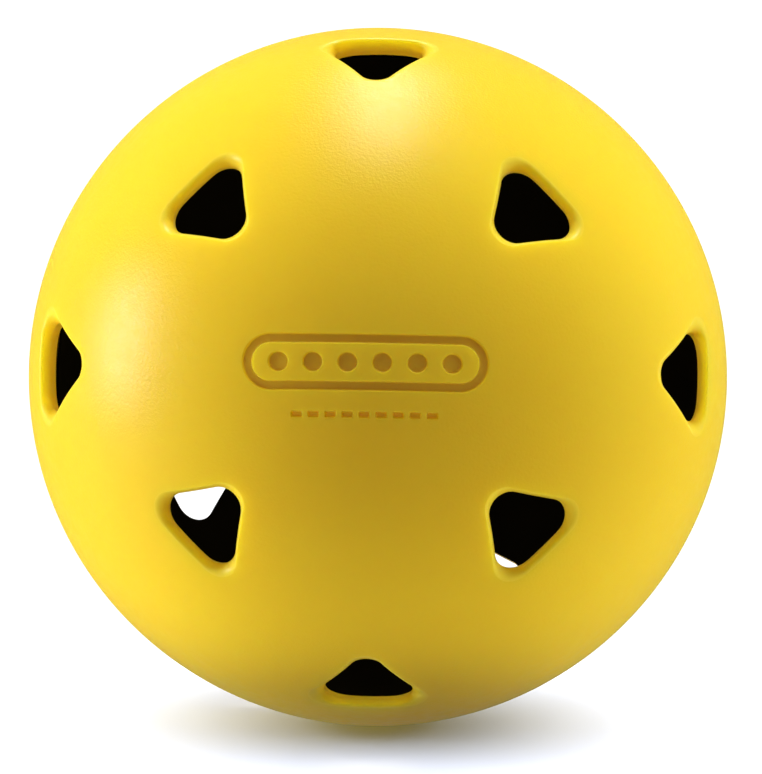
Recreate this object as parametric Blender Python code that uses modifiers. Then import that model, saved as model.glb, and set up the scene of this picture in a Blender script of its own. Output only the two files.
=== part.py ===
"""A hollow vented practice ball: two injection-moulded half shells joined by an equatorial weld.

Metres, +Z up, with the origin at the ball's centre. Both halves are moulded about the Y axis. The
front half's pole, which carries the sunk marks, points to -Y and the rear half's pole to +Y, so the
weld runs round the ball in the Y = 0 plane. Each half is built with its pole on its own +Z axis and
then turned into place. The rear half is the same moulding turned over and twisted about the poles.
"""

import math

import bmesh
import bpy
from mathutils import Matrix, Vector

MM = 0.001

# Driving dimensions, in millimetres and degrees.
BALL_DIAMETER = 74.0
WALL = 2.8
REAR_TWIST = 18.5

# Joint at the equator: a tongue on the front half enters a socket in the rear half.
JOINT_GAP = 0.3
TONGUE_THICKNESS = 1.2
TONGUE_LENGTH = 1.2
BEAD_HEIGHT = 0.6

# Vents: two rings of four in each half. Their points face the pole and their bases the equator.
# "polar" and "first" place the vents by angle from the pole and round it; the rest is in the vent's
# own tangent plane, where the base edge flares out by "base_flare" and the other sides by SIDE_FLARE.
VENTS_PER_RING = 4
INNER_RING = {
    "polar": 39.5, "first": 45.0, "base": 12.35, "height": 10.9,
    "point_r": 2.15, "corner_r": 2.35, "base_flare": 1.2,
}
OUTER_RING = {
    "polar": 64.4, "first": 0.0, "base": 13.25, "height": 10.9,
    "point_r": 1.8, "corner_r": 2.55, "base_flare": 2.0,
}
OUTLINE_DEPTH = 0.28
SIDE_FLARE = 0.4

# Through the wall a vent is a quarter-ellipse flare down to a crisp edge, then a land that runs the
# way the mould opens: along the pole axis, leaning away from it by the draft.
FLARE_DEPTH = 1.4
FLARE_ANGLES = (25.0, 55.0, 90.0)
DRAFT = 4.5
LAND_REACH = 7.5

# Marks sunk into the front pole: a plain stadium outline with a row of dots, and dashes below it.
MARK_DEPTH = 0.35
STADIUM_LENGTH = 25.4
STADIUM_HEIGHT = 5.8
GROOVE_WIDTH = 0.9
DOT_COUNT = 6
DOT_PITCH = 3.6
DOT_RADIUS = 1.0
DASH_COUNT = 9
DASH_PITCH = 1.75
DASH_LENGTH = 1.1
DASH_HEIGHT = 0.6
DASH_ROW_DROP = 5.4

# Smoothness of the faceted model. ROUND_END keeps a sliver of straight side between two round ends.
TURN_STEPS = 56
ARC_STEPS = 14
CORNER_STEPS = 5
SIDE_STEPS = 3
STADIUM_SIDE_STEPS = 8
ROUND_END = 0.999
OVERSHOOT = 1.0

OUTER_RADIUS = BALL_DIAMETER / 2
INNER_RADIUS = OUTER_RADIUS - WALL
TRAP_DEPTH = TONGUE_LENGTH + BEAD_HEIGHT + 2 * JOINT_GAP

FRONT_TURN = Matrix.Rotation(math.radians(90.0), 4, "X")
REAR_TURN = Matrix.Rotation(math.radians(REAR_TWIST), 4, "Y") @ Matrix.Rotation(math.radians(-90.0), 4, "X")


def clear_scene():
    for obj in list(bpy.data.objects):
        bpy.data.objects.remove(obj, do_unlink=True)


def new_collection(name):
    collection = bpy.data.collections.new(name)
    bpy.context.scene.collection.children.link(collection)
    return collection


def plastic(name, colour, roughness):
    material = bpy.data.materials.new(name)
    material.use_nodes = True
    shader = material.node_tree.nodes["Principled BSDF"]
    shader.inputs["Base Color"].default_value = (*colour, 1.0)
    shader.inputs["Roughness"].default_value = roughness
    shader.inputs["Metallic"].default_value = 0.0
    return material


def arc(radius, start, end, steps):
    """Points (r, z) in millimetres on a circle about the centre, by angle from the pole in degrees."""
    angles = [math.radians(start + (end - start) * i / steps) for i in range(steps + 1)]
    return [(radius * math.sin(a), radius * math.cos(a)) for a in angles]


def polar_at(radius, height):
    return math.degrees(math.acos(height / radius))


def turned(name, profile, closed, collection, material, turn):
    """A solid of revolution about its own Z axis, from a profile of (r, z) points in millimetres."""
    mesh = bpy.data.meshes.new(name)
    points = [(r * MM, 0.0, z * MM) for r, z in profile]
    edges = [(i, i + 1) for i in range(len(points) - 1)]
    if closed:
        edges.append((len(points) - 1, 0))
    mesh.from_pydata(points, edges, [])
    obj = bpy.data.objects.new(name, mesh)
    collection.objects.link(obj)
    screw = obj.modifiers.new("Turn", "SCREW")
    screw.axis = "Z"
    screw.steps = TURN_STEPS
    screw.render_steps = TURN_STEPS
    screw.use_merge_vertices = True
    screw.merge_threshold = 0.00001
    screw.use_smooth_shade = True
    mesh.materials.append(material)
    obj.matrix_world = turn
    return obj


def front_profile():
    """From the outer pole down to the rim, along the tongue, and up the inside to the inner pole."""
    rim = JOINT_GAP / 2
    tongue_radius = INNER_RADIUS + TONGUE_THICKNESS
    outside = arc(OUTER_RADIUS, 0.0, polar_at(OUTER_RADIUS, rim), ARC_STEPS)
    tongue = [(tongue_radius, rim), (tongue_radius, -TONGUE_LENGTH), (INNER_RADIUS, -TONGUE_LENGTH)]
    return outside + tongue + arc(INNER_RADIUS, 90.0, 0.0, ARC_STEPS)


def rear_profile():
    """The same shell with a socket for the tongue, and room at its floor for the weld bead."""
    rim = JOINT_GAP / 2
    socket_radius = INNER_RADIUS + TONGUE_THICKNESS + JOINT_GAP
    outside = arc(OUTER_RADIUS, 0.0, polar_at(OUTER_RADIUS, rim), ARC_STEPS)
    socket = [(socket_radius, rim), (socket_radius, TRAP_DEPTH)]
    return outside + socket + arc(INNER_RADIUS, polar_at(INNER_RADIUS, TRAP_DEPTH), 0.0, ARC_STEPS)


def bead_profile():
    """A flat ring of weld flash between the tongue's tip and the socket's floor."""
    low = INNER_RADIUS
    high = INNER_RADIUS + TONGUE_THICKNESS
    top = -TONGUE_LENGTH - JOINT_GAP
    return [(high, top), (high, top - BEAD_HEIGHT), (low, top - BEAD_HEIGHT), (low, top)]


def rounded_outline(corners, radii):
    """A polygon with rounded corners, as points in order, CORNER_STEPS + 1 of them to a corner."""
    points = []
    count = len(corners)
    for i, corner in enumerate(corners):
        here = Vector(corner)
        back = (Vector(corners[i - 1]) - here).normalized()
        ahead = (Vector(corners[(i + 1) % count]) - here).normalized()
        half_angle = back.angle(ahead) / 2
        bisector = (back + ahead).normalized()
        centre = here + bisector * (radii[i] / math.sin(half_angle))
        sweep = math.pi - 2 * half_angle
        middle = math.atan2(-bisector.y, -bisector.x)
        for k in range(CORNER_STEPS + 1):
            angle = middle + sweep * (k / CORNER_STEPS - 0.5)
            points.append(centre + Vector((math.cos(angle), math.sin(angle))) * radii[i])
    return points


def divided_sides(outline, pieces):
    """The same rounded outline, with each straight side between two corners cut into pieces."""
    corner_points = CORNER_STEPS + 1
    result = []
    for i, here in enumerate(outline):
        result.append(here)
        if i % corner_points == CORNER_STEPS:
            following = outline[(i + 1) % len(outline)]
            result += [here.lerp(following, k / pieces) for k in range(1, pieces)]
    return result


def vent_outline(ring, flare):
    """A triangle in the tangent plane, its point towards the pole at -y, flared by 0 to 1."""
    low, high = -2 * ring["height"] / 3, ring["height"] / 3
    lean = math.atan2(ring["base"] / 2, ring["height"])
    side_shift = SIDE_FLARE * flare
    high += ring["base_flare"] * flare
    low -= side_shift / math.sin(lean)
    half = (high - low) * math.tan(lean)
    corners = [(0.0, low), (half, high), (-half, high)]
    radii = (ring["point_r"], ring["corner_r"], ring["corner_r"])
    return divided_sides(rounded_outline(corners, radii), SIDE_STEPS)


def on_sphere(outline, radius, polar, azimuth):
    """Lays a flat outline on a sphere about the centre, where its own axis meets the sphere."""
    sin_p, cos_p = math.sin(polar), math.cos(polar)
    sin_a, cos_a = math.sin(azimuth), math.cos(azimuth)
    axis = Vector((sin_p * cos_a, sin_p * sin_a, cos_p))
    across = Vector((-sin_a, cos_a, 0.0))
    outward = Vector((cos_p * cos_a, cos_p * sin_a, -sin_p))
    points = []
    for p in outline:
        rise = math.sqrt(radius * radius - p.length_squared)
        points.append(axis * rise + across * p.x + outward * p.y)
    return points


def loft(name, sections, capped, collection, turn):
    """A closed cutter through sections of equal point count. Uncapped, the last joins the first."""
    mesh = bmesh.new()
    rings = [[mesh.verts.new(p * MM) for p in section] for section in sections]
    pairs = list(zip(rings, rings[1:]))
    if not capped:
        pairs.append((rings[-1], rings[0]))
    for upper, lower in pairs:
        count = len(upper)
        for i in range(count):
            j = (i + 1) % count
            mesh.faces.new((upper[i], upper[j], lower[j], lower[i]))
    if capped:
        for ring in (rings[0], rings[-1]):
            middle = mesh.verts.new(sum((v.co for v in ring), Vector()) / len(ring))
            for i, vert in enumerate(ring):
                mesh.faces.new((vert, ring[(i + 1) % len(ring)], middle))
    bmesh.ops.recalc_face_normals(mesh, faces=mesh.faces)
    data = bpy.data.meshes.new(name)
    mesh.to_mesh(data)
    mesh.free()
    obj = bpy.data.objects.new(name, data)
    obj.hide_render = True
    obj.display_type = "WIRE"
    obj.matrix_world = turn
    collection.objects.link(obj)
    return obj


def slid(point, direction, radius):
    """The point moved along direction, a unit vector, to the sphere of that radius."""
    along = point.dot(direction)
    return point + direction * (math.sqrt(along * along - point.length_squared + radius * radius) - along)


def vent_sections(ring, azimuth):
    """Outlines from above the surface, down the flared edge, to the end of the land inside the ball."""
    polar, draft = math.radians(ring["polar"]), math.radians(DRAFT)
    draw = Vector((
        math.sin(draft) * math.cos(azimuth),
        math.sin(draft) * math.sin(azimuth),
        math.cos(draft),
    ))
    turns = [math.radians(angle) for angle in FLARE_ANGLES]
    levels = [(FLARE_DEPTH * (1 - math.cos(turn)), 1 - math.sin(turn)) for turn in turns]
    (first_depth, first_flare), (next_depth, next_flare) = levels[0], levels[1]
    slope = (first_flare - next_flare) / (next_depth - first_depth)
    levels.insert(0, (-OVERSHOOT, first_flare + slope * (first_depth + OVERSHOOT)))
    sections = []
    for depth, flare in levels:
        laid = on_sphere(vent_outline(ring, flare), OUTER_RADIUS - OUTLINE_DEPTH, polar, azimuth)
        sections.append([slid(p, draw, OUTER_RADIUS - depth) for p in laid])
    sections.append([p - draw * LAND_REACH for p in sections[-1]])
    return sections


def cut_vents(shell, collection, turn):
    for ring_name, ring in (("inner", INNER_RING), ("outer", OUTER_RING)):
        for k in range(VENTS_PER_RING):
            azimuth = math.radians(ring["first"] + 360.0 * k / VENTS_PER_RING)
            sections = vent_sections(ring, azimuth)
            loft(f"{shell.name}_vent_{ring_name}_{k + 1}", sections, True, collection, turn)


def rectangle(length, height):
    half_l, half_h = length / 2, height / 2
    return [(-half_l, -half_h), (half_l, -half_h), (half_l, half_h), (-half_l, half_h)]


def stadium(length, height):
    """A bar with half-round ends, its straight sides divided to follow the ball's curve."""
    radius = height / 2 * ROUND_END
    return divided_sides(rounded_outline(rectangle(length, height), (radius,) * 4), STADIUM_SIDE_STEPS)


def on_front(outline, radius):
    """Lays an outline, x right and y up as seen from in front, on a sphere at the front pole."""
    return on_sphere([Vector((-p.x, p.y)) for p in outline], radius, 0.0, math.radians(90.0))


def sink_mark(name, outline, x, y, collection, turn):
    place = [Vector((p.x + x, p.y + y)) for p in outline]
    sections = [on_front(place, OUTER_RADIUS + OVERSHOOT), on_front(place, OUTER_RADIUS - MARK_DEPTH)]
    loft(name, sections, True, collection, turn)


def sink_marks(collection, turn):
    """Cutters for the marks, from above the surface to the marks' floor."""
    above, floor = OUTER_RADIUS + OVERSHOOT, OUTER_RADIUS - MARK_DEPTH
    outer = stadium(STADIUM_LENGTH, STADIUM_HEIGHT)
    inner = stadium(STADIUM_LENGTH - 2 * GROOVE_WIDTH, STADIUM_HEIGHT - 2 * GROOVE_WIDTH)
    groove = [on_front(outer, above), on_front(outer, floor), on_front(inner, floor), on_front(inner, above)]
    loft("mark_stadium", groove, False, collection, turn)

    dot = rounded_outline(rectangle(2 * DOT_RADIUS, 2 * DOT_RADIUS), (DOT_RADIUS * ROUND_END,) * 4)
    for k in range(DOT_COUNT):
        sink_mark(f"mark_dot_{k + 1}", dot, (k - (DOT_COUNT - 1) / 2) * DOT_PITCH, 0.0, collection, turn)

    dash = [Vector(p) for p in rectangle(DASH_LENGTH, DASH_HEIGHT)]
    for k in range(DASH_COUNT):
        x = (k - (DASH_COUNT - 1) / 2) * DASH_PITCH
        sink_mark(f"mark_dash_{k + 1}", dash, x, -DASH_ROW_DROP, collection, turn)


def cut(shell, cutters):
    boolean = shell.modifiers.new("Cut", "BOOLEAN")
    boolean.operation = "DIFFERENCE"
    boolean.operand_type = "COLLECTION"
    boolean.collection = cutters
    boolean.solver = "EXACT"


def main():
    clear_scene()
    ball = new_collection("vented_ball")
    front_cutters = new_collection("front_cutters")
    rear_cutters = new_collection("rear_cutters")
    for collection in (front_cutters, rear_cutters):
        collection.hide_render = True

    yellow = plastic("yellow_plastic", (0.86, 0.62, 0.02), 0.42)
    weld = plastic("weld_plastic", (0.80, 0.56, 0.03), 0.55)

    front = turned("front_half_shell", front_profile(), False, ball, yellow, FRONT_TURN)
    cut_vents(front, front_cutters, FRONT_TURN)
    sink_marks(front_cutters, FRONT_TURN)
    cut(front, front_cutters)

    rear = turned("rear_half_shell", rear_profile(), False, ball, yellow, REAR_TURN)
    cut_vents(rear, rear_cutters, REAR_TURN)
    cut(rear, rear_cutters)

    turned("weld_bead", bead_profile(), True, ball, weld, FRONT_TURN)


main()
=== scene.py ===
"""Looks of a hollow vented practice ball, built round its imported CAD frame.

Metres in the scene; the shells are worked out in millimetres with their pole on their own +Z axis
and then turned into place, the front pole to -Y and the rear pole to +Y. Each shell is one closed
mesh: a fine outer skin, flared vents with a crisp edge and a land, the inner skin, and the joint
at the equator. The CAD's faceted halves and weld bead are stood for by these finer pieces.
"""

import math

import bmesh
import bpy
import numpy as np
from mathutils import Matrix, Vector
from mathutils.geometry import delaunay_2d_cdt


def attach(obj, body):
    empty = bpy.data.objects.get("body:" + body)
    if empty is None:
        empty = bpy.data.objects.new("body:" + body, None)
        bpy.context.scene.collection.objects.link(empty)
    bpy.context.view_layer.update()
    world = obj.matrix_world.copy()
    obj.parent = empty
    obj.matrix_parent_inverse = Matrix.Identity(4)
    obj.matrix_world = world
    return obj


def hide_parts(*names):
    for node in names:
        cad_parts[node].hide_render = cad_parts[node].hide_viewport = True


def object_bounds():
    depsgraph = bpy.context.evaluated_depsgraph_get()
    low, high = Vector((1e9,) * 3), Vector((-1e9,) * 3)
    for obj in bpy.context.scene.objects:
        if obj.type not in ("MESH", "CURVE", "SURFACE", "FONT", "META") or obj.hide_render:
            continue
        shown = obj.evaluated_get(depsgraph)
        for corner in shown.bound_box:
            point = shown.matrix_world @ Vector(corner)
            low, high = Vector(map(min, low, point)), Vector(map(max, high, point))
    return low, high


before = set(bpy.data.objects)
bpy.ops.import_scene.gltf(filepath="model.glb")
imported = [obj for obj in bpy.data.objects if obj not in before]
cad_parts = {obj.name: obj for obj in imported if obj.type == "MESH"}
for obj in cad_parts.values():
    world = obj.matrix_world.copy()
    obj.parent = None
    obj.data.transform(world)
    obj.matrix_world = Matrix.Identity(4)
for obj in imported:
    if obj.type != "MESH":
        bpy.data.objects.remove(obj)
cad_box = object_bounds()

MM = 0.001

# Driving dimensions, in millimetres and degrees. The ball's size comes from the frame.
OUTER_RADIUS = (cad_box[1].z - cad_box[0].z) / 2 / MM
WALL = 2.8
INNER_RADIUS = OUTER_RADIUS - WALL
REAR_TWIST = 18.5

# Joint at the equator: a tongue on the front half enters a socket in the rear half.
JOINT_GAP = 0.3
SEAM_GAP = 0.04
SEAM_ROUND = 0.22
TONGUE_THICKNESS = 1.2
TONGUE_LENGTH = 1.2
BEAD_HEIGHT = 0.6
BEAD_FILL = 0.93
BEAD_SQUARENESS = 0.6
TRAP_DEPTH = TONGUE_LENGTH + BEAD_HEIGHT + 2 * JOINT_GAP

# Vents: two rings of four in each half, points towards the pole. "polar" and "first" place them;
# the rest is in the vent's own tangent plane.
VENTS_PER_RING = 4
INNER_RING = {
    "polar": 39.5, "first": 45.0, "base": 12.35, "height": 10.9,
    "point_r": 2.15, "corner_r": 2.35, "base_flare": 1.2,
}
OUTER_RING = {
    "polar": 64.4, "first": 0.0, "base": 13.25, "height": 10.9,
    "point_r": 1.8, "corner_r": 2.55, "base_flare": 2.0,
}
OUTLINE_DEPTH = 0.28
SIDE_FLARE = 0.4
FLARE_DEPTH = 1.4
FLARE_STEPS = 10
FLARE_TURN = math.radians(48.0)
DRAFT = 4.5

# Marks sunk into the front pole, with softened walls.
MARK_DEPTH = 0.35
MARK_EDGE = 0.17
STADIUM_LENGTH = 25.4
STADIUM_HEIGHT = 5.8
GROOVE_WIDTH = 0.9
DOT_COUNT = 6
DOT_PITCH = 3.6
DOT_RADIUS = 1.0
DASH_COUNT = 9
DASH_PITCH = 1.75
DASH_LENGTH = 1.1
DASH_HEIGHT = 0.6
DASH_ROUND = 0.15
DASH_ROW_DROP = 5.4

# The stadium and its dots take a darker yellow, painted shade, where they are sunk by more than this share
# of their depth; the dashes, below this height, keep the skin's yellow.
SUNK_SHARE = 0.6
SUNK_LOWEST = -DASH_ROW_DROP / 2 - STADIUM_HEIGHT / 4

# Spacing of the mesh points. The mark zone is the rectangle about the pole, given by half its
# length and height, that is meshed more finely.
SKIN_SPACING = 0.8
MARK_SPACING = 0.24
MARK_LOOP_SPACING = 0.13
MARK_ZONE = (14.0, 7.0)
CORNER_STEPS = 12
SIDE_STEPS = 16
EQUATOR_STEPS = 360
SEAM_STEPS = 5
BEAD_STEPS = 12

# Points of a skin stay this share of their spacing away from the loops that bound it.
SKIN_CLEARANCE = 0.6
MARK_CLEARANCE = 0.55

# Points closer than these count as one, in the flat map and along a mark's loop in millimetres.
MERGE_DISTANCE = 1e-7
COINCIDENT = 1e-6

# Edges sharper than this stay crisp. The finishes are numbered as a shell's materials are listed: the
# skin's yellow, the inner skin's painted shade, the painted shade on the sunk marks and the painted light
# on the vent walls.
SHARP_ANGLE = math.radians(17.0)
YELLOW, SHADE, SUNK_SHADE, PALE_LIT = range(4)

FRONT_TURN = Matrix.Rotation(math.radians(90.0), 3, "X")
REAR_TURN = (
    Matrix.Rotation(math.radians(REAR_TWIST), 3, "Y")
    @ Matrix.Rotation(math.radians(-90.0), 3, "X")
)


# ---- Flat outlines, in millimetres -----------------------------------------------------------

def rounded_outline(corners, radii):
    """A polygon with rounded corners and divided sides, with the same count of points each time."""
    arcs = []
    count = len(corners)
    for i, corner in enumerate(corners):
        here = Vector(corner)
        back = (Vector(corners[i - 1]) - here).normalized()
        ahead = (Vector(corners[(i + 1) % count]) - here).normalized()
        half_angle = back.angle(ahead) / 2
        bisector = (back + ahead).normalized()
        centre = here + bisector * (radii[i] / math.sin(half_angle))
        sweep = math.pi - 2 * half_angle
        middle = math.atan2(-bisector.y, -bisector.x)
        angles = [middle + sweep * (k / CORNER_STEPS - 0.5) for k in range(CORNER_STEPS + 1)]
        arcs.append([centre + Vector((math.cos(a), math.sin(a))) * radii[i] for a in angles])
    points = []
    for i, arc in enumerate(arcs):
        following = arcs[(i + 1) % count][0]
        points += arc
        points += [arc[-1].lerp(following, k / SIDE_STEPS) for k in range(1, SIDE_STEPS)]
    return np.array([tuple(p) for p in points])


def vent_outline(ring, flare):
    """A triangle in the tangent plane, its point towards the pole at -y, flared by 0 to 1."""
    low, high = -2 * ring["height"] / 3, ring["height"] / 3
    lean = math.atan2(ring["base"] / 2, ring["height"])
    high += ring["base_flare"] * flare
    low -= SIDE_FLARE * flare / math.sin(lean)
    half = (high - low) * math.tan(lean)
    corners = [(0.0, low), (half, high), (-half, high)]
    return rounded_outline(corners, (ring["point_r"], ring["corner_r"], ring["corner_r"]))


def offset_box(half_length, half_height, radius, grow):
    """A rounded rectangle about the origin, grown by an offset, with evenly spaced points."""
    radius = radius + grow
    corner_x, corner_y = half_length + grow - radius, half_height + grow - radius
    points = []
    for quarter, (sx, sy) in enumerate(((1, 1), (-1, 1), (-1, -1), (1, -1))):
        steps = max(3, round(radius * math.pi / 2 / MARK_LOOP_SPACING))
        for k in range(steps + 1):
            angle = math.pi / 2 * (quarter + k / steps)
            x = sx * corner_x + radius * math.cos(angle)
            y = sy * corner_y + radius * math.sin(angle)
            points.append((x, y))
    result = []
    for i, (x, y) in enumerate(points):
        next_x, next_y = points[(i + 1) % len(points)]
        length = math.hypot(next_x - x, next_y - y)
        pieces = max(1, round(length / MARK_LOOP_SPACING)) if length > COINCIDENT else 0
        result += [(x + (next_x - x) * j / pieces, y + (next_y - y) * j / pieces) for j in range(pieces)]
    return np.array(result)


# ---- The marks: distance inside each shape, and the loops that follow its walls ----------------

def inside_box(x, y, half_length, half_height, radius):
    """Distance inside a rounded rectangle about the origin, negative outside it."""
    dx = np.abs(x) - half_length + radius
    dy = np.abs(y) - half_height + radius
    outside = np.hypot(np.maximum(dx, 0.0), np.maximum(dy, 0.0))
    return radius - outside - np.minimum(np.maximum(dx, dy), 0.0)


def mark_shapes():
    """(x, y, half length, half height, corner radius) of each solid mark, beside the groove."""
    shapes = []
    for k in range(DOT_COUNT):
        shapes.append(((k - (DOT_COUNT - 1) / 2) * DOT_PITCH, 0.0, DOT_RADIUS, DOT_RADIUS, DOT_RADIUS))
    for k in range(DASH_COUNT):
        x = (k - (DASH_COUNT - 1) / 2) * DASH_PITCH
        shapes.append((x, -DASH_ROW_DROP, DASH_LENGTH / 2, DASH_HEIGHT / 2, DASH_ROUND))
    return shapes


def groove_middle():
    """Half length, half height and corner radius of the line along the middle of the groove."""
    half_length = (STADIUM_LENGTH - GROOVE_WIDTH) / 2
    half_height = (STADIUM_HEIGHT - GROOVE_WIDTH) / 2
    return half_length, half_height, half_height


def mark_depth(x, y):
    """How far the front pole's surface is sunk at a point, x right and y up as seen from in front."""
    inside = GROOVE_WIDTH / 2 - np.abs(inside_box(x, y, *groove_middle()))
    for centre_x, centre_y, *shape in mark_shapes():
        inside = np.maximum(inside, inside_box(x - centre_x, y - centre_y, *shape))
    share = np.clip(inside / MARK_EDGE + 0.5, 0.0, 1.0)
    return MARK_DEPTH * share * share * (3 - 2 * share)


def mark_loops():
    """Closed loops along the top, the middle and the foot of each mark's wall."""
    steps = (-MARK_EDGE / 2, -MARK_EDGE / 6, MARK_EDGE / 6, MARK_EDGE / 2)
    loops = []
    for grow in steps:
        for side in (-1, 1):
            loops.append(offset_box(*groove_middle(), side * (GROOVE_WIDTH / 2 + grow)))
        for centre_x, centre_y, *shape in mark_shapes():
            loops.append(offset_box(*shape, grow) + (centre_x, centre_y))
    return loops


# ---- Between the flat outlines, the sphere and the flat map the skin is meshed in --------------

def on_sphere(outline, radius, polar, azimuth):
    """Lays a flat outline on a sphere about the centre, where its own axis meets the sphere."""
    sin_p, cos_p = math.sin(polar), math.cos(polar)
    sin_a, cos_a = math.sin(azimuth), math.cos(azimuth)
    axis = np.array((sin_p * cos_a, sin_p * sin_a, cos_p))
    across = np.array((-sin_a, cos_a, 0.0))
    outward = np.array((cos_p * cos_a, cos_p * sin_a, -sin_p))
    rise = np.sqrt(radius * radius - (outline ** 2).sum(1))
    return rise[:, None] * axis + outline[:, :1] * across + outline[:, 1:] * outward


def slid(points, direction, radius):
    """Points moved along direction, a unit vector, to the sphere of that radius."""
    along = points @ direction
    move = np.sqrt(along ** 2 - (points ** 2).sum(1) + radius * radius) - along
    return points + move[:, None] * direction


def flattened(points):
    """The map of directions: distance from the origin is the angle from the pole."""
    polar = np.arctan2(np.hypot(points[:, 0], points[:, 1]), points[:, 2])
    azimuth = np.arctan2(points[:, 1], points[:, 0])
    return np.column_stack((polar * np.cos(azimuth), polar * np.sin(azimuth)))


def direction_of(flat):
    """The unit vectors that points of the flat map stand for."""
    polar = np.hypot(flat[:, 0], flat[:, 1])
    azimuth = np.arctan2(flat[:, 1], flat[:, 0])
    across = np.sin(polar)
    return np.column_stack((across * np.cos(azimuth), across * np.sin(azimuth), np.cos(polar)))


def scattered(radius, limit, spacing):
    """Evenly spread points over a cap of the sphere, as a sunflower's seeds, in the flat map."""
    area = 2 * math.pi * radius ** 2 * (1 - math.cos(limit))
    count = round(area / (spacing ** 2 * math.sqrt(3) / 2))
    i = np.arange(count) + 0.5
    polar = np.arccos(1 - i / count * (1 - math.cos(limit)))
    azimuth = math.pi * (3 - math.sqrt(5)) * i
    return np.column_stack((polar * np.cos(azimuth), polar * np.sin(azimuth)))


def clear_of(points, loops, margin):
    """The points that are farther than margin from every point of the loops."""
    for loop in loops:
        centre = loop.mean(0)
        reach = np.hypot(*(loop - centre).T).max() + margin
        near = np.flatnonzero(np.hypot(*(points - centre).T) < reach)
        if len(near):
            gaps = np.hypot(*(points[near, None] - loop[None]).transpose(2, 0, 1))
            points = np.delete(points, near[gaps.min(1) < margin], axis=0)
    return points


def within(points, loop):
    """Whether each point is inside a closed loop: a line to its right crosses it an odd number of times."""
    result = np.zeros(len(points), bool)
    centre = loop.mean(0)
    reach = np.hypot(*(loop - centre).T).max()
    near = np.flatnonzero(np.hypot(*(points - centre).T) < reach)
    x, y = points[near, 0], points[near, 1]
    odd = np.zeros(len(near), bool)
    for (x0, y0), (x1, y1) in zip(loop, np.roll(loop, -1, axis=0)):
        crosses = (y0 > y) != (y1 > y)
        rise = y1 - y0 if y1 != y0 else 1.0
        odd ^= crosses & (x < (x1 - x0) * (y - y0) / rise + x0)
    result[near] = odd
    return result


def triangulated(points, loops, holes):
    """Triangles over flat points and loops, as indices into them stacked, leaving the holes open."""
    stacked = np.vstack([points] + loops)
    edges = []
    start = len(points)
    for loop in loops:
        edges += [(start + i, start + (i + 1) % len(loop)) for i in range(len(loop))]
        start += len(loop)
    corners = [Vector(point) for point in stacked]
    _, _, faces, sources, _, _ = delaunay_2d_cdt(corners, edges, [], 0, MERGE_DISTANCE, True)
    triangles = np.array([[sources[corner][0] for corner in face] for face in faces])
    middles = stacked[triangles].mean(1)
    open_here = np.zeros(len(triangles), bool)
    for hole in holes:
        open_here |= within(middles, hole)
    return stacked, triangles[~open_here]


# ---- Gathering a piece -------------------------------------------------------------------------

class Surface:
    """The points and faces of one piece while it is gathered, in millimetres."""

    def __init__(self):
        self.points = []
        self.faces = []
        self.finishes = []

    def add(self, points):
        start = len(self.points)
        self.points.extend(tuple(p) for p in points)
        return list(range(start, start + len(points)))

    def face(self, corners, finish):
        self.faces.append(tuple(corners))
        self.finishes.append(finish)

    def strip(self, first, second, finish):
        """Quads between two closed loops of the same count."""
        for i in range(len(first)):
            j = (i + 1) % len(first)
            self.face((first[i], first[j], second[j], second[i]), finish)

    def loft(self, loops, finish):
        """Quads through loops of point indices or of new points."""
        rings = [loop if isinstance(loop, list) else self.add(loop) for loop in loops]
        for first, second in zip(rings, rings[1:]):
            self.strip(first, second, finish)
        return rings

    def build(self, name, turn, finishes):
        """The finished object, riding on the ball's only body, its crisp edges marked by angle."""
        mesh = bpy.data.meshes.new(name)
        turned = np.array(self.points) @ np.array(turn).T * MM
        mesh.from_pydata(turned.tolist(), [], self.faces)
        for finish in finishes:
            mesh.materials.append(finish)
        mesh.polygons.foreach_set("material_index", self.finishes)
        work = bmesh.new()
        work.from_mesh(mesh)
        bmesh.ops.recalc_face_normals(work, faces=work.faces)
        for face in work.faces:
            face.smooth = True
        for edge in work.edges:
            edge.smooth = edge.calc_face_angle(0.0) < SHARP_ANGLE
        work.to_mesh(mesh)
        work.free()
        obj = bpy.data.objects.new(name, mesh)
        bpy.context.scene.collection.objects.link(obj)
        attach(obj, "root")
        return obj


# ---- Shells ------------------------------------------------------------------------------------

def vent_sections(ring, azimuth):
    """Outlines from the outer skin, down the flared edge, along the land, to the inner skin."""
    polar, draft = math.radians(ring["polar"]), math.radians(DRAFT)
    draw = np.array((
        math.sin(draft) * math.cos(azimuth),
        math.sin(draft) * math.sin(azimuth),
        math.cos(draft),
    ))
    sections = []
    for step in range(FLARE_STEPS + 1):
        turn = FLARE_TURN * step / FLARE_STEPS
        flare = 1 - math.sin(turn) / math.sin(FLARE_TURN)
        depth = FLARE_DEPTH * (1 - math.cos(turn)) / (1 - math.cos(FLARE_TURN))
        laid = on_sphere(vent_outline(ring, flare), OUTER_RADIUS - OUTLINE_DEPTH, polar, azimuth)
        sections.append(slid(laid, draw, OUTER_RADIUS - depth))
    sections.append(slid(sections[-1], draw, INNER_RADIUS))
    return sections


def all_vents():
    """The sections of each of a shell's vents."""
    vents = []
    for ring in (INNER_RING, OUTER_RING):
        for k in range(VENTS_PER_RING):
            vents.append(vent_sections(ring, math.radians(ring["first"] + 360.0 * k / VENTS_PER_RING)))
    return vents


def circle(radius, height):
    """Points round the pole axis."""
    turns = np.arange(EQUATOR_STEPS) * 2 * math.pi / EQUATOR_STEPS
    return np.column_stack((radius * np.cos(turns), radius * np.sin(turns), np.full(EQUATOR_STEPS, height)))


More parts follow.
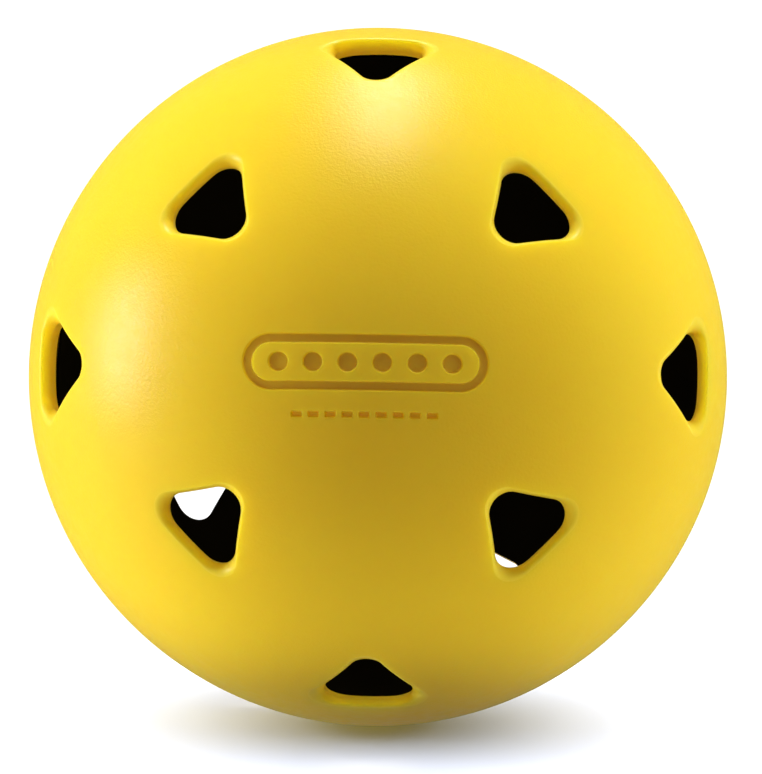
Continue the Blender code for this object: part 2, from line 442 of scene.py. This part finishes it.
def seam_edge():
    """Circles round the outer rim, rolling over from the skin into the seam."""
    centre_z = SEAM_GAP / 2 + SEAM_ROUND
    centre_r = math.sqrt((OUTER_RADIUS - SEAM_ROUND) ** 2 - centre_z ** 2)
    lean = math.atan2(centre_z, centre_r)
    turns = [lean + (-math.pi / 2 - lean) * k / SEAM_STEPS for k in range(SEAM_STEPS + 1)]
    return [(centre_r + SEAM_ROUND * math.cos(t), centre_z + SEAM_ROUND * math.sin(t)) for t in turns]


def front_joint():
    """(radius, height) of the circles from the rim along the tongue to the inner skin."""
    low, tongue = SEAM_GAP / 2, INNER_RADIUS + TONGUE_THICKNESS
    return [(tongue, low), (tongue, -TONGUE_LENGTH), (INNER_RADIUS, -TONGUE_LENGTH), (INNER_RADIUS, 0.0)]


def rear_joint():
    """(radius, height) of the circles from the rim up the socket to the inner skin."""
    low, socket = SEAM_GAP / 2, INNER_RADIUS + TONGUE_THICKNESS + JOINT_GAP
    inner = math.sqrt(INNER_RADIUS ** 2 - TRAP_DEPTH ** 2)
    return [(socket, low), (socket, TRAP_DEPTH), (inner, TRAP_DEPTH)]


def skin(surface, radius, vent_loops, rim, finish, marked):
    """Meshes a spherical skin inside its rim circle, and returns the point indices of each loop."""
    flat_vents = [flattened(loop) for loop in vent_loops]
    flat_rim = flattened(rim)
    limit = np.hypot(*flat_rim[0])
    points = scattered(radius, limit, SKIN_SPACING)
    points = clear_of(points, flat_vents + [flat_rim], SKIN_CLEARANCE * SKIN_SPACING / radius)
    loops = []
    if marked:
        ends = np.array(MARK_ZONE) / radius
        in_zone = (np.abs(points) < ends).all(1)
        # The fine points cover a cap a little wider than the zone, and then only the zone.
        fine = scattered(radius, 1.1 * np.hypot(*ends), MARK_SPACING)
        fine = fine[(np.abs(fine) < ends).all(1)]
        for outline in mark_loops():
            loops.append(flattened(on_sphere(outline * (-1, 1), OUTER_RADIUS, 0.0, math.pi / 2)))
        fine = clear_of(fine, loops, MARK_CLEARANCE * MARK_LOOP_SPACING / radius)
        points = np.vstack((points[~in_zone], fine))
    loops = flat_vents + [flat_rim] + loops
    points = points[~np.any([within(points, hole) for hole in flat_vents], axis=0)]
    stacked, triangles = triangulated(points, loops, flat_vents)
    directions = direction_of(stacked)
    depth = mark_depth(directions[:, 0] * radius, directions[:, 1] * radius) if marked else 0.0
    ids = surface.add(directions * np.reshape(radius - depth, (-1, 1)))
    # Painted shade: faces deep in the stadium and its dots take the darker sunk finish.
    sunk = np.zeros(len(triangles), bool)
    if marked:
        height = directions[triangles, 1].mean(1) * radius
        sunk = (depth[triangles].mean(1) > SUNK_SHARE * MARK_DEPTH) & (height > SUNK_LOWEST)
    for triangle, is_painted_shade in zip(triangles, sunk):
        surface.face([ids[i] for i in triangle], SUNK_SHADE if is_painted_shade else finish)
    result = []
    start = len(points)
    for loop in flat_vents + [flat_rim]:
        result.append(ids[start:start + len(loop)])
        start += len(loop)
    return result


def shell(name, joint, turn, marked, finishes):
    """One moulded half: outer skin, vents, joint and inner skin as one closed mesh."""
    surface = Surface()
    vents = all_vents()
    edge = [circle(*place) for place in seam_edge()]
    sides = [circle(*place) for place in joint]
    outer = skin(surface, OUTER_RADIUS, [vent[0] for vent in vents], edge[0], YELLOW, marked)
    # The inner skin takes the near-black finish: painted shade for the unlit cavity.
    inner = skin(surface, INNER_RADIUS, [vent[-1] for vent in vents], sides[-1], SHADE, False)
    # Each vent's walls take a lighter yellow: painted light, brighter than the skin.
    for sections, upper, lower in zip(vents, outer, inner):
        surface.loft([upper] + sections[1:-1] + [lower], PALE_LIT)
    rounded = surface.loft([outer[-1]] + edge[1:], YELLOW)
    # The joint's faces inside the rim take the same painted shade.
    surface.loft([rounded[-1]] + sides[:-1] + [inner[-1]], SHADE)
    return surface.build(name, turn, finishes)


# ---- Weld bead ---------------------------------------------------------------------------------

def squared(wave):
    """A sine or cosine drawn out towards its ends, so that the two of them trace a rounded box."""
    return math.copysign(abs(wave) ** BEAD_SQUARENESS, wave)


def weld_ring(finish):
    """A ring of set plastic with a rounded, slightly uneven section, between tongue and socket."""
    surface = Surface()
    middle_r = INNER_RADIUS + TONGUE_THICKNESS / 2
    middle_z = -TONGUE_LENGTH - JOINT_GAP - BEAD_HEIGHT / 2
    turns = np.arange(EQUATOR_STEPS) * 2 * math.pi / EQUATOR_STEPS
    # Thicker and thinner by a few hundredths, in two waves that don't repeat together.
    swell = 1 + 0.04 * np.sin(11 * turns) + 0.03 * np.sin(29 * turns + 1.0)
    rings = []
    for k in range(BEAD_STEPS):
        angle = 2 * math.pi * k / BEAD_STEPS
        along = squared(math.cos(angle)) * BEAD_FILL * TONGUE_THICKNESS / 2
        up = squared(math.sin(angle)) * BEAD_FILL * BEAD_HEIGHT / 2
        radius = middle_r + along * swell
        height = middle_z + up * swell
        ring = np.column_stack((radius * np.cos(turns), radius * np.sin(turns), height))
        rings.append(surface.add(ring))
    for first, second in zip(rings, rings[1:] + rings[:1]):
        surface.strip(first, second, 0)
    return surface.build("weld_ring", FRONT_TURN, [finish])


# ---- Materials ---------------------------------------------------------------------------------

# A noise's values lie mostly between these.
NOISE_LOW, NOISE_HIGH = 0.3, 0.7


class Nodes:
    """A material's node tree, with short calls for the nodes used here."""

    def __init__(self, name):
        self.material = bpy.data.materials.new(name)
        self.material.use_nodes = True
        self.tree = self.material.node_tree
        self.shader = self.tree.nodes["Principled BSDF"]
        self.place = self.tree.nodes.new("ShaderNodeTexCoord").outputs["Object"]

    def noise(self, scale, detail, roughness=0.5):
        node = self.tree.nodes.new("ShaderNodeTexNoise")
        node.inputs["Scale"].default_value = scale
        node.inputs["Detail"].default_value = detail
        node.inputs["Roughness"].default_value = roughness
        self.tree.links.new(self.place, node.inputs["Vector"])
        return node.outputs["Fac"]

    def tones(self, factor, dark, light):
        node = self.tree.nodes.new("ShaderNodeValToRGB")
        stops = zip(node.color_ramp.elements, (NOISE_LOW, NOISE_HIGH), (dark, light))
        for stop, position, colour in stops:
            stop.position = position
            stop.color = (*colour, 1.0)
        self.tree.links.new(factor, node.inputs["Fac"])
        return node.outputs["Color"]

    def spread(self, factor, low, high):
        node = self.tree.nodes.new("ShaderNodeMapRange")
        node.inputs["From Min"].default_value = NOISE_LOW
        node.inputs["From Max"].default_value = NOISE_HIGH
        node.inputs["To Min"].default_value = low
        node.inputs["To Max"].default_value = high
        self.tree.links.new(factor, node.inputs["Value"])
        return node.outputs["Result"]

    def bump(self, height, distance, strength, under=None):
        node = self.tree.nodes.new("ShaderNodeBump")
        node.inputs["Distance"].default_value = distance
        node.inputs["Strength"].default_value = strength
        self.tree.links.new(height, node.inputs["Height"])
        if under is not None:
            self.tree.links.new(under, node.inputs["Normal"])
        return node.outputs["Normal"]

    def set(self, **values):
        for socket, value in values.items():
            self.shader.inputs[socket.replace("_", " ")].default_value = value

    def link(self, output, socket):
        self.tree.links.new(output, self.shader.inputs[socket])


def yellow_plastic(name, dark, light):
    """Satin moulded polyethylene between two tones: a spark-eroded grain and a milky body."""
    nodes = Nodes(name)
    nodes.link(nodes.tones(nodes.noise(45.0, 3.0), dark, light), "Base Color")
    nodes.link(nodes.spread(nodes.noise(900.0, 2.0), 0.28, 0.38), "Roughness")
    grain = nodes.bump(nodes.noise(3300.0, 2.0, 0.6), 0.00004, 0.75)
    nodes.link(nodes.bump(nodes.noise(110.0, 1.0), 0.00008, 0.25, grain), "Normal")
    nodes.set(IOR=1.44, Subsurface_Weight=0.8, Subsurface_Scale=0.004)
    nodes.set(Subsurface_Radius=(1.0, 0.85, 0.25))
    return nodes.material


def cavity_shade():
    """Painted shade: the inner skin, yellow in the real ball, coloured near black for the unlit cavity seen
    through the vents.
    """
    nodes = Nodes("cavity_shade")
    tones = nodes.tones(nodes.noise(60.0, 2.0), (0.0015, 0.0012, 0.0006), (0.003, 0.0024, 0.001))
    nodes.link(tones, "Base Color")
    nodes.link(nodes.bump(nodes.noise(900.0, 2.0), 0.00003, 0.3), "Normal")
    nodes.set(Roughness=0.9, Specular_IOR_Level=0.05)
    return nodes.material


def weld_plastic():
    """Plastic that melted and set again, with fine ripples; its dark amber is painted shade for the unlit
    inside of the ball.
    """
    nodes = Nodes("weld_plastic")
    tones = nodes.tones(nodes.noise(300.0, 3.0), (0.05, 0.032, 0.001), (0.09, 0.058, 0.002))
    nodes.link(tones, "Base Color")
    nodes.link(nodes.spread(nodes.noise(700.0, 2.0), 0.45, 0.6), "Roughness")
    nodes.link(nodes.bump(nodes.noise(1200.0, 2.0), 0.00004, 0.4), "Normal")
    return nodes.material


# ---- Studio ------------------------------------------------------------------------------------

# The ball has rolled a little on its floor. Its frame keeps the poles level, so it is the floor
# that is tipped, by this angle about X.
FLOOR_TILT = 12.3
# The floor is solid out to one radius and has faded away at the other.
FLOOR_SOLID = 30.0
FLOOR_RADIUS = 42.0
FLOOR_SIDES = 96
# Softboxes stand this far from the ball's centre, in metres.
BOX_DISTANCE = 0.60
FLOOR_BOX_DISTANCE = 0.30
# Light from all round, and the white that only the camera sees.
AMBIENT_LEVEL = 0.16
BACKDROP_LEVEL = 1.2
GLOW_LEVEL = 0.4
GLOW_RADIUS = 12.0


def floor_paper():
    """Pale paper that fades out with distance from the middle; its blue tint is painted in to offset the
    yellow light the ball bounces onto it.
    """
    nodes = Nodes("floor_paper")
    nodes.set(Base_Color=(0.68, 0.75, 0.95, 1.0), Roughness=0.9, Specular_IOR_Level=0.1)
    distance = nodes.tree.nodes.new("ShaderNodeVectorMath")
    distance.operation = "LENGTH"
    nodes.tree.links.new(nodes.place, distance.inputs[0])
    fade = nodes.tree.nodes.new("ShaderNodeMapRange")
    fade.interpolation_type = "SMOOTHSTEP"
    fade.inputs["From Min"].default_value = FLOOR_SOLID * MM
    fade.inputs["From Max"].default_value = FLOOR_RADIUS * MM
    fade.inputs["To Min"].default_value = 1.0
    fade.inputs["To Max"].default_value = 0.0
    nodes.tree.links.new(distance.outputs["Value"], fade.inputs["Value"])
    nodes.link(fade.outputs["Result"], "Alpha")
    return nodes.material


def floor():
    """A pale disc that touches the ball and fades into the white backdrop."""
    work = bmesh.new()
    bmesh.ops.create_circle(work, cap_ends=True, segments=FLOOR_SIDES, radius=FLOOR_RADIUS * MM)
    mesh = bpy.data.meshes.new("floor")
    work.to_mesh(mesh)
    work.free()
    mesh.materials.append(floor_paper())
    obj = bpy.data.objects.new("floor", mesh)
    bpy.context.scene.collection.objects.link(obj)
    tilt = Matrix.Rotation(math.radians(FLOOR_TILT), 4, "X")
    obj.matrix_world = tilt @ Matrix.Translation((0.0, 0.0, -OUTER_RADIUS * MM))
    obj.visible_diffuse = False
    obj.visible_glossy = False
    return obj


def softbox(name, direction, size, level, distance=BOX_DISTANCE, glossy=True, receiver=None):
    """An area light facing the ball. A small one at level 1 lights a white surface to full white."""
    data = bpy.data.lights.new(name, "AREA")
    data.shape = "RECTANGLE"
    data.size, data.size_y = size
    data.energy = math.pi ** 2 * distance ** 2 * level
    obj = bpy.data.objects.new(name, data)
    towards = Vector(direction).normalized()
    obj.location = towards * distance
    obj.rotation_mode = "QUATERNION"
    obj.rotation_quaternion = towards.to_track_quat("Z", "Y")
    obj.visible_camera = False
    obj.visible_glossy = glossy
    bpy.context.scene.collection.objects.link(obj)
    if receiver is not None:
        group = bpy.data.collections.new(name + "_receivers")
        group.objects.link(receiver)
        obj.light_linking.receiver_collection = group
    return obj


def cavity_glow():
    """The light that bounces about inside a yellow ball, whose inner skin is kept dark here."""
    data = bpy.data.lights.new("cavity_glow", "POINT")
    data.energy = 4 * math.pi ** 2 * (OUTER_RADIUS * MM) ** 2 * GLOW_LEVEL
    data.color = (1.0, 0.82, 0.42)
    data.shadow_soft_size = GLOW_RADIUS * MM
    obj = bpy.data.objects.new("cavity_glow", data)
    obj.visible_camera = False
    obj.visible_glossy = False
    bpy.context.scene.collection.objects.link(obj)


def surroundings():
    """White behind the ball, and a soft even light from all round."""
    world = bpy.data.worlds.new("studio")
    world.use_nodes = True
    bpy.context.scene.world = world
    tree = world.node_tree
    tree.nodes.clear()
    path = tree.nodes.new("ShaderNodeLightPath")
    mix = tree.nodes.new("ShaderNodeMixShader")
    tree.links.new(path.outputs["Is Camera Ray"], mix.inputs["Fac"])
    for socket, level in ((1, AMBIENT_LEVEL), (2, BACKDROP_LEVEL)):
        background = tree.nodes.new("ShaderNodeBackground")
        background.inputs["Color"].default_value = (1.0, 1.0, 1.0, 1.0)
        background.inputs["Strength"].default_value = level
        tree.links.new(background.outputs["Background"], mix.inputs[socket])
    output = tree.nodes.new("ShaderNodeOutputWorld")
    tree.links.new(mix.outputs["Shader"], output.inputs["Surface"])


def studio_lights(ground):
    """Two boxes that show as highlights, four broad fills that don't, and the floor's own light."""
    softbox("left_box", (-1.0, -0.02, 0.13), (0.15, 0.28), 0.40)
    softbox("left_fill", (-1.0, 0.24, -0.20), (0.70, 0.70), 1.20, glossy=False)
    softbox("right_fill", (1.0, 0.22, -0.15), (0.70, 0.70), 1.53, glossy=False)
    softbox("top_box", (0.0, 0.08, 1.0), (0.14, 0.46), 0.44)
    softbox("top_fill", (0.0, -0.20, 1.0), (0.50, 0.40), 0.85, glossy=False)
    softbox("under_fill", (-0.5, -0.40, -1.0), (0.50, 0.50), 0.42, glossy=False)
    softbox("floor_box", (0.0, 0.0, 1.0), (2.40, 2.40), 48.0, FLOOR_BOX_DISTANCE, receiver=ground)
    cavity_glow()


# ---- Camera ------------------------------------------------------------------------------------

# The camera's distance in ball radii, and how far the ball is turned in its view, in degrees.
CAMERA_DISTANCE = 30.67
VIEW_PITCH = -2.35
VIEW_YAW = -2.08
VIEW_ROLL = -0.98
# The ball's share of the frame's height, and its centre's place from the frame's, in frame heights.
BALL_RADIUS_IN_FRAME = 0.4512
BALL_LEFT = 0.0040
BALL_UP = 0.0131
SENSOR_WIDTH = 36.0


def camera():
    """The camera, in front of the ball's front pole and turned a little about its centre."""
    data = bpy.data.cameras.new("camera")
    obj = bpy.data.objects.new("camera", data)
    bpy.context.scene.collection.objects.link(obj)
    turned = (
        Matrix.Rotation(math.radians(VIEW_PITCH), 3, "X")
        @ Matrix.Rotation(math.radians(VIEW_YAW), 3, "Y")
        @ Matrix.Rotation(math.radians(VIEW_ROLL), 3, "Z")
    )
    aim = Matrix.Rotation(math.radians(90.0), 3, "X") @ turned.transposed()
    away = Vector((0.0, 0.0, CAMERA_DISTANCE * OUTER_RADIUS * MM))
    obj.matrix_world = Matrix.Translation(aim @ away) @ aim.to_4x4()
    data.sensor_width = SENSOR_WIDTH
    data.lens = SENSOR_WIDTH * BALL_RADIUS_IN_FRAME * math.sqrt(CAMERA_DISTANCE ** 2 - 1)
    data.shift_x = BALL_LEFT
    data.shift_y = -BALL_UP
    data.clip_start = 0.01
    data.clip_end = 10.0
    bpy.context.scene.camera = obj
    bpy.context.scene.view_settings.view_transform = "Standard"


def main():
    # In the order of the skin's yellow, the inner skin's painted shade, the painted shade on the sunk marks
    # and the painted light on the vent walls.
    finishes = [
        yellow_plastic("yellow_plastic", (0.91, 0.614, 0.020), (0.95, 0.648, 0.024)),
        cavity_shade(),
        # Painted shade on the sunk marks: a darker yellow.
        yellow_plastic("sunk_shaded_plastic", (0.73, 0.490, 0.022), (0.77, 0.520, 0.026)),
        # Painted light on the vent walls: a lighter yellow.
        yellow_plastic("vent_lit_plastic", (0.97, 0.660, 0.040), (1.00, 0.690, 0.050)),
    ]
    front = shell("front_shell", front_joint(), FRONT_TURN, True, finishes)
    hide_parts("front_half_shell")
    rear = shell("rear_shell", rear_joint(), REAR_TURN, False, finishes)
    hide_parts("rear_half_shell")
    bead = weld_ring(weld_plastic())
    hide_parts("weld_bead")
    ground = floor()
    studio_lights(ground)
    surroundings()
    camera()


main()
